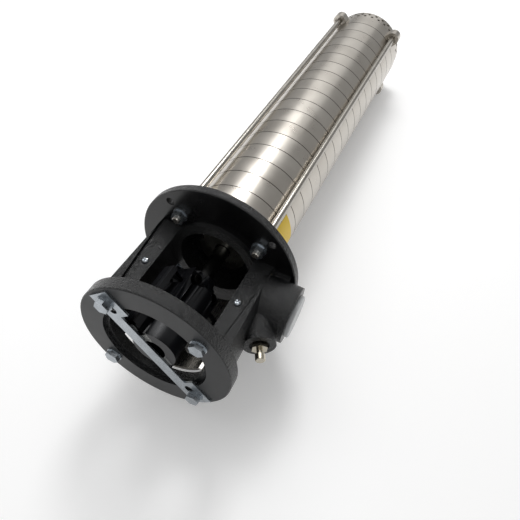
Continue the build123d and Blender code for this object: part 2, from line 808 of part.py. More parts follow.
with BuildPart() as neck_rings:
    for number in range(stage_count):
        neck_start = stack_start + (number + 1) * stage_pitch
        ring = ring_outline(neck_bore_radius, neck_ring_radius, neck_start, neck_start + neck_ring_length)
        revolve(ring, axis=Axis.Y)
save(neck_rings.part, "neck_rings")

# Pipes on the shaft that space the impellers, from the shoulder to the bearing
with BuildPart() as spacer_pipes:
    pipe_start = shoulder_y
    for number in range(stage_count):
        hub_start = stack_start + number * stage_pitch + impeller_back_y
        revolve(ring_outline(stack_shaft_radius + shaft_fit, pipe_radius, pipe_start, hub_start), axis=Axis.Y)
        pipe_start = hub_start + hub_length
    revolve(ring_outline(stack_shaft_radius + shaft_fit, pipe_radius, pipe_start, bearing_end), axis=Axis.Y)
save(spacer_pipes.part, "spacer_pipes")

for number in range(stage_count):
    place = Location((0, stack_start + number * stage_pitch, 0))
    save(chamber.part.moved(place), f"stage_chamber_{number + 1:02d}")
    save(impeller.part.moved(place), f"impeller_{number + 1:02d}")

# Inlet casing: sleeve with the last neck hole, four ears for the tie rods and a spider for the bearing
with BuildPart() as inlet_casing:
    casing = outline(
        (neck_ring_radius, stack_end),
        (sleeve_radius - sleeve_chamfer, stack_end),
        (sleeve_radius, stack_end + sleeve_chamfer),
        (sleeve_radius, inlet_end),
        (inlet_spigot_radius, inlet_end),
        (inlet_spigot_radius, inlet_end + inlet_spigot_length),
        (inlet_inner_radius, inlet_end + inlet_spigot_length),
        (inlet_inner_radius, stack_end + floor_thickness),
        (neck_ring_radius, stack_end + floor_thickness),
    )
    revolve(casing, axis=Axis.Y)
    with BuildSketch(across(ear_end)) as ears_outline:
        with PolarLocations(rod_circle, 4, start_angle=bolt_angle):
            Circle(ear_radius)
        with PolarLocations((rod_circle + inlet_inner_radius) / 2, 4, start_angle=bolt_angle):
            Rectangle(rod_circle - inlet_inner_radius, 2 * ear_radius)
        Circle(inlet_inner_radius + ear_wall / 2, mode=Mode.SUBTRACT)
    extrude(amount=ear_length)
    with BuildSketch(across(ear_end)) as rod_holes:
        with PolarLocations(rod_circle, 4, start_angle=bolt_angle):
            Circle(rod_radius + screw_gap)
    extrude(amount=ear_length, mode=Mode.SUBTRACT)
    with BuildSketch(across(ear_end - ear_length + ear_pocket_depth)) as rod_pockets:
        with PolarLocations(rod_circle, 4, start_angle=bolt_angle):
            Circle(ear_pocket_radius)
    extrude(amount=ear_pocket_depth, mode=Mode.SUBTRACT)
    with BuildSketch(across(inlet_end)) as spider:
        Circle(spider_hub_radius)
        with PolarLocations((inlet_inner_radius + spider_arm_overlap) / 2, 4):
            Rectangle(inlet_inner_radius + spider_arm_overlap, spider_arm_width)
        Circle(bearing_radius, mode=Mode.SUBTRACT)
    extrude(amount=bearing_length)
save(inlet_casing.part, "inlet_casing")

# Bearing bush in the spider, round the last spacer pipe
with BuildPart() as bearing_bush:
    bush = ring_outline(pipe_radius + running_fit, bearing_radius, inlet_end - bearing_length, inlet_end)
    revolve(bush, axis=Axis.Y)
save(bearing_bush.part, "bearing_bush")

# Nut that clamps impellers and pipes on the shaft
with BuildPart() as shaft_end_nut:
    with BuildSketch(across(bearing_end + end_nut_height)) as end_nut:
        hexagon(nut_flats)
        Circle(thread_radius + shaft_fit, mode=Mode.SUBTRACT)
    extrude(amount=end_nut_height)
save(shaft_end_nut.part, "shaft_end_nut")

# Suction strainer: a perforated cup pushed over the spigot of the inlet casing
with BuildPart() as suction_strainer:
    cup_wall = outline(
        (0, strainer_end_y - strainer_wall),
        (strainer_radius - strainer_wall, strainer_end_y - strainer_wall),
        (strainer_radius - strainer_wall, inlet_end),
        (strainer_radius, inlet_end),
        (strainer_radius, strainer_end_y),
        (0, strainer_end_y),
    )
    revolve(cup_wall, axis=Axis.Y)
    row_planes = []
    for row in range(strainer_rows):
        row_y = strainer_end_y - strainer_first_row - row * strainer_row_pitch
        for number in range(strainer_row_holes):
            angle = radians(360 * (number + row / 2) / strainer_row_holes)
            outward = (cos(angle), 0, sin(angle))
            foot = (strainer_foot_radius * cos(angle), row_y, strainer_foot_radius * sin(angle))
            row_planes.append(Plane(origin=foot, z_dir=outward))
    with Locations(*row_planes):
        Cylinder(strainer_hole_radius, 2 * (strainer_radius - strainer_foot_radius), mode=Mode.SUBTRACT)
    with BuildSketch(across(strainer_end_y)) as end_holes:
        for radius in strainer_end_radii:
            with PolarLocations(radius, round(2 * pi * radius / strainer_end_hole_pitch)):
                Circle(strainer_end_hole_radius)
    extrude(amount=strainer_wall, mode=Mode.SUBTRACT)
save(suction_strainer.part, "suction_strainer")

# Tie rods from the tank flange to the ears, with their washers and nuts
with BuildPart() as tie_rods:
    with BuildSketch(across(ear_end)) as rods:
        with PolarLocations(rod_circle, 4, start_angle=bolt_angle):
            Circle(rod_radius)
    extrude(amount=ear_end - rod_start)
    chamfer(tie_rods.edges().group_by(Axis.Y)[0], rod_chamfer)
save(tie_rods.part, "tie_rods")

with BuildPart() as tie_rod_washers:
    with BuildSketch(across(tank_flange_back)) as rod_washer:
        with PolarLocations(rod_circle, 4, start_angle=bolt_angle):
            Circle(washer_radius)
            Circle(rod_radius + screw_gap, mode=Mode.SUBTRACT)
    extrude(amount=washer_thickness)
save(tie_rod_washers.part, "tie_rod_washers")

with BuildPart() as tie_rod_nuts:
    with BuildSketch(across(tank_flange_back - washer_thickness)) as rod_nut:
        with PolarLocations(rod_circle, 4, start_angle=bolt_angle):
            hexagon(bolt_flats)
            Circle(rod_radius + shaft_fit, mode=Mode.SUBTRACT)
    extrude(amount=nut_height)
save(tie_rod_nuts.part, "tie_rod_nuts")
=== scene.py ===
import json
import math
import bmesh
import bpy
from mathutils import Matrix, Vector


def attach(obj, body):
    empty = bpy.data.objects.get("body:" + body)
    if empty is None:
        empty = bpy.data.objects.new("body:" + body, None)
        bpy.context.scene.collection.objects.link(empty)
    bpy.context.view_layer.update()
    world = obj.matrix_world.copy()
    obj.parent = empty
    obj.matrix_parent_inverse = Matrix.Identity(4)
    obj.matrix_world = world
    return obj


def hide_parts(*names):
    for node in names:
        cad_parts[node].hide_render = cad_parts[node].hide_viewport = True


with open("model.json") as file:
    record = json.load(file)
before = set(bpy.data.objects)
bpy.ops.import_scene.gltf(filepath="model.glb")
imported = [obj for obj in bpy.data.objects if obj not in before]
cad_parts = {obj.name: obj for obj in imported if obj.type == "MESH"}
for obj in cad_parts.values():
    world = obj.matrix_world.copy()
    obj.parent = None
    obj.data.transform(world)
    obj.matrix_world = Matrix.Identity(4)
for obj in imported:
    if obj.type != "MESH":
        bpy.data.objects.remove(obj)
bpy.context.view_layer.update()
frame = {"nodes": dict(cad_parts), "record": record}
nodes = frame["nodes"]
print("frame loaded,", len(nodes), "nodes")

millimetre = 0.001


def linearColour(hexValue):
    # sRGB hex to the linear colour that the shader sockets want
    channels = [int(hexValue[place:place + 2], 16) / 255 for place in (1, 3, 5)]
    return [c / 12.92 if c <= 0.04045 else ((c + 0.055) / 1.055) ** 2.4 for c in channels] + [1.0]


def addNode(tree, kind, inputs=None, **settings):
    # a node with its settings, and with its inputs either linked or given a value
    node = tree.nodes.new(kind)
    for name, value in settings.items():
        setattr(node, name, value)
    for name, value in (inputs or {}).items():
        if isinstance(value, bpy.types.NodeSocket):
            tree.links.new(value, node.inputs[name])
        else:
            node.inputs[name].default_value = value
    return node


def startMaterial(name, colour, metallic, roughness, **shaderValues):
    # an empty material with its shader and the object's own coordinates, in metres
    material = bpy.data.materials.new(name)
    material.use_nodes = True
    material.diffuse_color = linearColour(colour)
    tree = material.node_tree
    shader = tree.nodes["Principled BSDF"]
    shader.inputs["Base Color"].default_value = linearColour(colour)
    shader.inputs["Metallic"].default_value = metallic
    shader.inputs["Roughness"].default_value = roughness
    for socket, value in shaderValues.items():
        shader.inputs[socket].default_value = value
    coordinates = addNode(tree, "ShaderNodeTexCoord")
    return material, tree, shader, coordinates


# Alkyd paint sprayed on sand-cast grey iron: near black, the sand's lumps show through as glints
castPaint = {
    "paint": "#090a0b",
    "dust": "#111213",
    "machinedPaint": "#232425",
    "flangeTop": "#050506",
    "castGrainMm": 2.1,
    "orangePeelMm": 0.8,
    "peelShare": 0.25,
    "castDepthMm": 1.5,
    "turnedGrain": 0.015,
    "dustPatchMm": 35.714,
    "roughness": 0.22,
    "matterFace": 0.22,
    "motorFaceY": -0.1333,
    "tankTopY": -0.0087,
    "turnedFacing": -0.97,
}


def makeCastPaint(look):
    material, tree, shader, coordinates = startMaterial(
        "blackPaintedSandCastIron", look["paint"], 0.0, look["roughness"], IOR=1.5)
    place = addNode(tree, "ShaderNodeSeparateXYZ", {"Vector": coordinates.outputs["Object"]})
    facing = addNode(tree, "ShaderNodeSeparateXYZ", {"Vector": coordinates.outputs["Normal"]})
    # faces turned on the lathe, and then painted thinly, look at the motor
    towardsMotor = addNode(tree, "ShaderNodeMath", {0: facing.outputs["Y"], 1: look["turnedFacing"]},
                           operation="LESS_THAN")
    atMotorFace = addNode(tree, "ShaderNodeMath", {0: place.outputs["Y"], 1: look["motorFaceY"]},
                          operation="LESS_THAN")
    nearTank = addNode(tree, "ShaderNodeMath", {0: place.outputs["Y"], 1: look["tankTopY"]},
                       operation="GREATER_THAN")
    onTankTop = addNode(tree, "ShaderNodeMath", {0: towardsMotor.outputs[0], 1: nearTank.outputs[0]},
                        operation="MULTIPLY")
    turned = addNode(tree, "ShaderNodeMath", {0: atMotorFace.outputs[0], 1: onTankTop.outputs[0]},
                     operation="MAXIMUM")
    # sand grain, and on it the orange peel of the sprayed paint, each from its size in millimetres
    sand = addNode(tree, "ShaderNodeTexNoise", {
        "Vector": coordinates.outputs["Object"], "Scale": 1 / (look["castGrainMm"] * millimetre),
        "Detail": 3.0, "Roughness": 0.62})
    peel = addNode(tree, "ShaderNodeTexNoise", {
        "Vector": coordinates.outputs["Object"], "Scale": 1 / (look["orangePeelMm"] * millimetre),
        "Detail": 1.0})
    heights = addNode(tree, "ShaderNodeMath", {
        0: peel.outputs["Fac"], 1: look["peelShare"], 2: sand.outputs["Fac"]}, operation="MULTIPLY_ADD")
    rough = addNode(tree, "ShaderNodeMath", {0: 1.0, 1: turned.outputs[0]}, operation="SUBTRACT")
    grainAmount = addNode(tree, "ShaderNodeMapRange", {
        "Value": rough.outputs[0], "To Min": look["turnedGrain"], "To Max": 1.0})
    bump = addNode(tree, "ShaderNodeBump", {
        "Strength": grainAmount.outputs[0], "Distance": look["castDepthMm"] * millimetre,
        "Height": heights.outputs[0]})
    tree.links.new(bump.outputs["Normal"], shader.inputs["Normal"])
    # handling dust greys the paint in patches
    patches = addNode(tree, "ShaderNodeTexNoise", {
        "Vector": coordinates.outputs["Object"], "Scale": 1 / (look["dustPatchMm"] * millimetre),
        "Detail": 4.0})
    painted = addNode(tree, "ShaderNodeMixRGB", {
        "Fac": patches.outputs["Fac"], "Color1": linearColour(look["paint"]),
        "Color2": linearColour(look["dust"])})
    withTop = addNode(tree, "ShaderNodeMixRGB", {
        "Fac": onTankTop.outputs[0], "Color1": painted.outputs[0],
        "Color2": linearColour(look["flangeTop"])})
    withFace = addNode(tree, "ShaderNodeMixRGB", {
        "Fac": atMotorFace.outputs[0], "Color1": withTop.outputs[0],
        "Color2": linearColour(look["machinedPaint"])})
    tree.links.new(withFace.outputs[0], shader.inputs["Base Color"])
    glossSpread = addNode(tree, "ShaderNodeMapRange", {
        "Value": patches.outputs["Fac"], "To Min": look["roughness"] - 0.06,
        "To Max": look["roughness"] + 0.12})
    withMatteFace = addNode(tree, "ShaderNodeMath", {
        0: atMotorFace.outputs[0], 1: look["matterFace"], 2: glossSpread.outputs[0]},
        operation="MULTIPLY_ADD")
    tree.links.new(withMatteFace.outputs[0], shader.inputs["Roughness"])
    return material


# Austenitic stainless sheet, deep drawn and brushed round its axis: straight soft bands along the column
sleeveSteel = {
    "steel": "#c9c4bc",
    "shade": "#b3ada4",
    "jointLine": "#2b2723",
    "brushMm": 0.55,
    "brushLengthMm": 33.333,
    "brushDepthMm": 0.01,
    "blotchMm": 26.316,
    "ownTone": 0.35,
    "stackStart": 0.0475,
    "stagePitch": 0.027,
    "jointWidthMm": 0.42,
    "roughness": 0.27,
}


def makeSleeveSteel(look):
    material, tree, shader, coordinates = startMaterial(
        "brushedStainlessSleeve", look["steel"], 1.0, look["roughness"])
    place = addNode(tree, "ShaderNodeSeparateXYZ", {"Vector": coordinates.outputs["Object"]})
    roundScale, alongScale = 1 / (look["brushLengthMm"] * millimetre), 1 / (look["brushMm"] * millimetre)
    stretched = addNode(tree, "ShaderNodeVectorMath", {
        0: coordinates.outputs["Object"], 1: (roundScale, alongScale, roundScale)}, operation="MULTIPLY")
    brush = addNode(tree, "ShaderNodeTexNoise", {
        "Vector": stretched.outputs[0], "Scale": 1.0, "Detail": 3.0})
    blotches = addNode(tree, "ShaderNodeTexNoise", {
        "Vector": coordinates.outputs["Object"], "Scale": 1 / (look["blotchMm"] * millimetre),
        "Detail": 4.0})
    # each chamber was drawn from its own blank, so its tone differs a little
    alongStack = addNode(tree, "ShaderNodeMath", {0: place.outputs["Y"], 1: look["stackStart"]},
                         operation="SUBTRACT")
    stageNumber = addNode(tree, "ShaderNodeMath", {0: alongStack.outputs[0], 1: look["stagePitch"]},
                          operation="DIVIDE")
    wholeStage = addNode(tree, "ShaderNodeMath", {0: stageNumber.outputs[0]}, operation="FLOOR")
    ownTone = addNode(tree, "ShaderNodeTexWhiteNoise", {"W": wholeStage.outputs[0]}, noise_dimensions="1D")
    toneSum = addNode(tree, "ShaderNodeMath", {
        0: ownTone.outputs["Value"], 1: look["ownTone"], 2: blotches.outputs["Fac"]},
        operation="MULTIPLY_ADD")
    toned = addNode(tree, "ShaderNodeMixRGB", {
        "Fac": toneSum.outputs[0], "Color1": linearColour(look["shade"]),
        "Color2": linearColour(look["steel"])})
    # the fine dark line where one sleeve stands on the next
    fromJoint = addNode(tree, "ShaderNodeMath", {0: alongStack.outputs[0], 1: look["stagePitch"] / 2},
                        operation="PINGPONG")
    onJoint = addNode(tree, "ShaderNodeMapRange", {
        "Value": fromJoint.outputs[0], "From Min": look["jointWidthMm"] * millimetre,
        "From Max": look["jointWidthMm"] * 1.5 * millimetre, "To Min": 1.0, "To Max": 0.0})
    lined = addNode(tree, "ShaderNodeMixRGB", {
        "Fac": onJoint.outputs[0], "Color1": toned.outputs[0],
        "Color2": linearColour(look["jointLine"])})
    tree.links.new(lined.outputs[0], shader.inputs["Base Color"])
    spread = addNode(tree, "ShaderNodeMapRange", {
        "Value": blotches.outputs["Fac"], "To Min": look["roughness"] - 0.05,
        "To Max": look["roughness"] + 0.1})
    tree.links.new(spread.outputs[0], shader.inputs["Roughness"])
    bump = addNode(tree, "ShaderNodeBump", {
        "Strength": 0.2, "Distance": look["brushDepthMm"] * millimetre, "Height": brush.outputs["Fac"]})
    tree.links.new(bump.outputs["Normal"], shader.inputs["Normal"])
    return material


# Other metals of the pump, each a polished, plated or turned surface with its own fine marks
metalLooks = {
    # zinc over pressed steel: pale, bluish and even, with soft highlights
    "brightZincPlatedSteel": dict(
        colour="#b9bfc4", shade="#8b9095", roughness=0.25, marksMm=2.2, stretch=(1, 1, 1)),
    # turned brass under nickel: warm, sharp highlights
    "nickelPlatedBrass": dict(
        colour="#d8d2c4", shade="#b5ad9c", roughness=0.16, marksMm=3.0, stretch=(1, 1, 1)),
    # ground shaft: fine rings round the axis, one thin bright line along it
    "groundShaftSteel": dict(
        colour="#adadab", shade="#8b8b89", roughness=0.14, marksMm=0.5, stretch=(0.05, 1, 0.05)),
    # cold-drawn rod: fine lines along its length
    "drawnStainlessRod": dict(
        colour="#c3bfb8", shade="#9d9890", roughness=0.22, marksMm=0.9, stretch=(1, 0.03, 1)),
    # turned seal parts in the wet well: rings of tool marks, and a colour darkened as painted shade of the
    # deep well
    "turnedSealSteelPaintedShade": dict(
        colour="#66655f", shade="#494844", roughness=0.26, marksMm=0.5, stretch=(0.05, 1, 0.05)),
    # rolled sheet: faint lines along the rolling direction
    "rolledGuardStainless": dict(
        colour="#c4c2be", shade="#a6a39d", roughness=0.24, marksMm=0.8, stretch=(1, 0.04, 1)),
    # pressed and welded impellers: satin, slightly clouded
    "pressedImpellerStainless": dict(
        colour="#c2c1bd", shade="#a19f99", roughness=0.3, marksMm=1.5, stretch=(1, 1, 1)),
    # blackened screws: nearly black with a greasy sheen
    "blackOxideScrewSteel": dict(
        colour="#1b1a19", shade="#0e0e0e", roughness=0.38, marksMm=1.0, stretch=(1, 1, 1)),
    # lapped carbide bush: dark grey and glassy
    "lappedSiliconCarbide": dict(
        colour="#3a3b3e", shade="#2b2c2f", roughness=0.2, marksMm=0.6, stretch=(1, 1, 1)),
    # milled faces and edges of the coupling: bright and finely scored
    "milledIronEdge": dict(
        colour="#d2d1cc", shade="#aeada8", roughness=0.36, marksMm=0.6, stretch=(1, 1, 1)),
}
metalMarks = {"tarnishMm": 8.3333, "depthMm": 0.03}


def makeMetal(name, look):
    material, tree, shader, coordinates = startMaterial(name, look["colour"], 1.0, look["roughness"])
    stretched = addNode(tree, "ShaderNodeVectorMath", {
        0: coordinates.outputs["Object"],
        1: [factor / (look["marksMm"] * millimetre) for factor in look["stretch"]]}, operation="MULTIPLY")
    marks = addNode(tree, "ShaderNodeTexNoise", {
        "Vector": stretched.outputs[0], "Scale": 1.0, "Detail": 3.0})
    tarnish = addNode(tree, "ShaderNodeTexNoise", {
        "Vector": coordinates.outputs["Object"], "Scale": 1 / (metalMarks["tarnishMm"] * millimetre),
        "Detail": 4.0})
    toned = addNode(tree, "ShaderNodeMixRGB", {
        "Fac": tarnish.outputs["Fac"], "Color1": linearColour(look["shade"]),
        "Color2": linearColour(look["colour"])})
    tree.links.new(toned.outputs[0], shader.inputs["Base Color"])
    spread = addNode(tree, "ShaderNodeMapRange", {
        "Value": marks.outputs["Fac"], "To Min": look["roughness"] - 0.05,
        "To Max": look["roughness"] + 0.12})
    tree.links.new(spread.outputs[0], shader.inputs["Roughness"])
    bump = addNode(tree, "ShaderNodeBump", {
        "Strength": 0.3, "Distance": metalMarks["depthMm"] * millimetre, "Height": marks.outputs["Fac"]})
    tree.links.new(bump.outputs["Normal"], shader.inputs["Normal"])
    return material


# Phosphated ductile casting with a satin oil film: blue-black and glossy, mottled bright on its milled end
couplingLook = {
    "iron": "#0b0c0e",
    "worn": "#1c1d21",
    "milled": "#9a9a97",
    "metallic": 0.35,
    "roughness": 0.3,
    "grainMm": 1.2,
    "grainDepthMm": 0.08,
    "height": (0.7660, 0.0, 0.6428),
    "milledBandMm": 7.5,
    "milledFacing": -0.9,
}


def makeCouplingIron(look):
    material, tree, shader, coordinates = startMaterial(
        "phosphatedDuctileIron", look["iron"], look["metallic"], look["roughness"])
    grain = addNode(tree, "ShaderNodeTexNoise", {
        "Vector": coordinates.outputs["Object"], "Scale": 1 / (look["grainMm"] * millimetre),
        "Detail": 3.0})
    toned = addNode(tree, "ShaderNodeMixRGB", {
        "Fac": grain.outputs["Fac"], "Color1": linearColour(look["iron"]),
        "Color2": linearColour(look["worn"])})
    # the face towards the motor was milled beside the split, and keeps only islands of the coat there
    facing = addNode(tree, "ShaderNodeSeparateXYZ", {"Vector": coordinates.outputs["Normal"]})
    milled = addNode(tree, "ShaderNodeMath", {0: facing.outputs["Y"], 1: look["milledFacing"]},
                     operation="LESS_THAN")
    islands = addNode(tree, "ShaderNodeMapRange", {
        "Value": grain.outputs["Fac"], "From Min": 0.4, "From Max": 0.55})
    fromSplit = addNode(tree, "ShaderNodeVectorMath", {
        0: coordinates.outputs["Object"], 1: look["height"]}, operation="DOT_PRODUCT")
    splitDistance = addNode(tree, "ShaderNodeMath", {0: fromSplit.outputs["Value"]}, operation="ABSOLUTE")
    inBand = addNode(tree, "ShaderNodeMath", {
        0: splitDistance.outputs[0], 1: look["milledBandMm"] * millimetre}, operation="LESS_THAN")
    milledBand = addNode(tree, "ShaderNodeMath", {0: milled.outputs[0], 1: inBand.outputs[0]},
                         operation="MULTIPLY")
    bare = addNode(tree, "ShaderNodeMath", {0: milledBand.outputs[0], 1: islands.outputs[0]},
                   operation="MULTIPLY")
    coated = addNode(tree, "ShaderNodeMixRGB", {
        "Fac": bare.outputs[0], "Color1": toned.outputs[0], "Color2": linearColour(look["milled"])})
    tree.links.new(coated.outputs[0], shader.inputs["Base Color"])
    bump = addNode(tree, "ShaderNodeBump", {
        "Strength": 0.4, "Distance": look["grainDepthMm"] * millimetre, "Height": grain.outputs["Fac"]})
    tree.links.new(bump.outputs["Normal"], shader.inputs["Normal"])
    return material


# Moulded plastics and rubber: even colour, a faint skin texture from the mould
plasticLooks = {
    # moulded cap: pale grey, waxy
    "mouldedGreyPolyethylene": dict(colour="#babcbd", low="#a5a7a8", roughness=0.34, skinMm=0.8),
    # rubber: black and matte
    "mouldedNitrileRubber": dict(colour="#121212", low="#0b0b0b", roughness=0.62, skinMm=0.5),
    # filled sealing plastic: dark and dry
    "mouldedFilledPtfe": dict(colour="#2c2b2a", low="#201f1e", roughness=0.5, skinMm=0.6),
    # printed film with nothing on it: flat strong yellow with a slight gloss
    "blankYellowVinyl": dict(colour="#f2cd14", low="#e8c20e", roughness=0.4, skinMm=2.5),
}
plasticMarks = {"cloudMm": 16.667, "depthMm": 0.04}


def makePlastic(name, look):
    material, tree, shader, coordinates = startMaterial(
        name, look["colour"], 0.0, look["roughness"], IOR=1.5)
    skin = addNode(tree, "ShaderNodeTexNoise", {
        "Vector": coordinates.outputs["Object"], "Scale": 1 / (look["skinMm"] * millimetre), "Detail": 2.0})
    clouds = addNode(tree, "ShaderNodeTexNoise", {
        "Vector": coordinates.outputs["Object"], "Scale": 1 / (plasticMarks["cloudMm"] * millimetre),
        "Detail": 3.0})
    toned = addNode(tree, "ShaderNodeMixRGB", {
        "Fac": clouds.outputs["Fac"], "Color1": linearColour(look["low"]),
        "Color2": linearColour(look["colour"])})
    tree.links.new(toned.outputs[0], shader.inputs["Base Color"])
    bump = addNode(tree, "ShaderNodeBump", {
        "Strength": 0.25, "Distance": plasticMarks["depthMm"] * millimetre, "Height": skin.outputs["Fac"]})
    tree.links.new(bump.outputs["Normal"], shader.inputs["Normal"])
    return material


finishes = {name: makeMetal(name, look) for name, look in metalLooks.items()}
finishes.update({name: makePlastic(name, look) for name, look in plasticLooks.items()})
finishes["castPaint"] = makeCastPaint(castPaint)
finishes["sleeveSteel"] = makeSleeveSteel(sleeveSteel)
finishes["couplingIron"] = makeCouplingIron(couplingLook)

# which finish each slot of the record gets
slotFinishes = {
    "black_cast_iron": "castPaint",
    "port_cap": "mouldedGreyPolyethylene",
    "nickel_brass": "nickelPlatedBrass",
    "zinc_steel": "brightZincPlatedSteel",
    "coupling_iron": "couplingIron",
    "black_screw_steel": "blackOxideScrewSteel",
    "shaft_steel": "groundShaftSteel",
    "seal_steel": "turnedSealSteelPaintedShade",
    "seal_rubber": "mouldedNitrileRubber",
    "guard_stainless": "rolledGuardStainless",
    "rod_stainless": "drawnStainlessRod",
    "chamber_stainless": "sleeveSteel",
    "impeller_stainless": "pressedImpellerStainless",
    "ring_plastic": "mouldedFilledPtfe",
    "bush_carbide": "lappedSiliconCarbide",
}
slotOfNode = {piece["node"]: piece["material_slot"] for piece in frame["record"]["subparts"]}
for nodeName, nodeObject in nodes.items():
    finish = finishes[slotFinishes[slotOfNode[nodeName]]]
    for place in range(max(1, len(nodeObject.material_slots))):
        if place < len(nodeObject.material_slots):
            nodeObject.material_slots[place].material = finish
        else:
            nodeObject.data.materials.append(finish)
print("materials made:", len(finishes))


def ring(radius, steps=48, fromAngle=0.0, toAngle=360.0, closed=True):
    # points round a circle, or along an arc of it; the radius may depend on the angle
    count = steps if closed else steps + 1
    points = []
    for step in range(count):
        angle = math.radians(fromAngle + (toAngle - fromAngle) * step / steps)
        size = radius(angle) if callable(radius) else radius
        points.append((size * math.cos(angle), size * math.sin(angle)))
    return points


def addLoft(shape, layers, toPlace):
    # a closed solid through outlines of equal length, each with its own depth
    rows = [[shape.verts.new(Vector(toPlace(u, v, depth)) * millimetre) for u, v in outline]
            for outline, depth in layers]
    for lower, upper in zip(rows, rows[1:]):
        for step in range(len(lower)):
            following = (step + 1) % len(lower)
            shape.faces.new((lower[step], lower[following], upper[following], upper[step]))
    shape.faces.new(rows[0])
    shape.faces.new(rows[-1])


def makePiece(name, shape, pieceFinishes):
    bmesh.ops.recalc_face_normals(shape, faces=shape.faces)
    mesh = bpy.data.meshes.new(name)
    shape.to_mesh(mesh)
    shape.free()
    for finishName in pieceFinishes:
        mesh.materials.append(finishes[finishName])
    mesh.polygons.foreach_set("use_smooth", [True] * len(mesh.polygons))
    mesh.set_sharp_from_angle(angle=math.radians(32))
    piece = bpy.data.objects.new(name, mesh)
    bpy.context.scene.collection.objects.link(piece)
    return piece


def applyTool(piece, layers, toPlace, operation):
    # joins a solid to the piece, or cuts it away
    toolShape = bmesh.new()
    addLoft(toolShape, layers, toPlace)
    tool = makePiece("tool", toolShape, ["couplingIron"])
    change = piece.modifiers.new("change", "BOOLEAN")
    change.operation = operation
    change.solver = "EXACT"
    change.object = tool
    bpy.context.view_layer.update()
    changed = bpy.data.meshes.new_from_object(piece.evaluated_get(bpy.context.evaluated_depsgraph_get()))
    piece.modifiers.clear()
    piece.data = changed
    bpy.data.objects.remove(tool)


def box(low, high):
    # a rectangle, from its lowest and highest corner
    return [(low[0], low[1]), (high[0], low[1]), (high[0], high[1]), (low[0], high[1])]


# Split coupling: two half shells with stepped flanks and flat ears, clamped by four socket screws.
# Sizes in millimetres: across and height lie beside and square to the split, Y runs along the shaft.
couplingSizes = {
    "across": (0.6428, 0.0, -0.7660),
    "height": (0.7660, 0.0, 0.6428),
    "gap": 0.4,
    "motorEnd": -133.2,
    "flankStart": -104.0,
    "noseStart": -60.0,
    "flankEnd": -47.0,
    "noseEnd": -42.0,
    "shell": 23.0,
    "nose": 16.0,
    "motorBore": 12.05,
    "boreEdgeAngle": 2,
    "pumpBore": 8.1,
    "lip": (26.0, 3.0),
    "flank": (22.4, 13.0),
    "wall": 13.5,
    "groove": (2.4, 2.0),
    "ear": (39.5, 7.0),
    "earRoot": 20.0,
    "earEnd": -62.0,
    "earRim": 5.6,
    "earRecess": 2.5,
    "earBand": 19.0,
    "earHole": (31.0, 2.1),
    "earHolesFromEnd": (12, 34),
    "edgeMm": 0.95,
    "edgeAngle": 40,
}
screwSizes = {
    "places": [(-13.5, -55.0), (13.5, -55.0), (-17.0, -96.0), (17.0, -96.0)],
    "seat": 9.5,
    "head": (5.0, 6.0),
    "shank": (2.95, 20.0),
    "socket": (2.5, 3.0),
    "pocket": 5.7,
    "cutAway": 8.5,
    "edge": 0.4,
    "toolReach": 2.0,
}


def couplingPlace(across, height, along):
    acrossWay, heightWay = Vector(couplingSizes["across"]), Vector(couplingSizes["height"])
    return acrossWay * across + heightWay * height + Vector((0.0, along, 0.0))


def lyingPlace(across, along, height):
    # for outlines that lie parallel to the split
    return couplingPlace(across, height, along)


def halfRing(outer, inner, gap, steps=36):
    # half of a ring, cut off level with the split
    outerStart, innerStart = math.degrees(math.asin(gap / outer)), math.degrees(math.asin(gap / inner))
    return (ring(outer, steps, outerStart, 180 - outerStart, False)
            + ring(inner, steps, 180 - innerStart, innerStart, False))


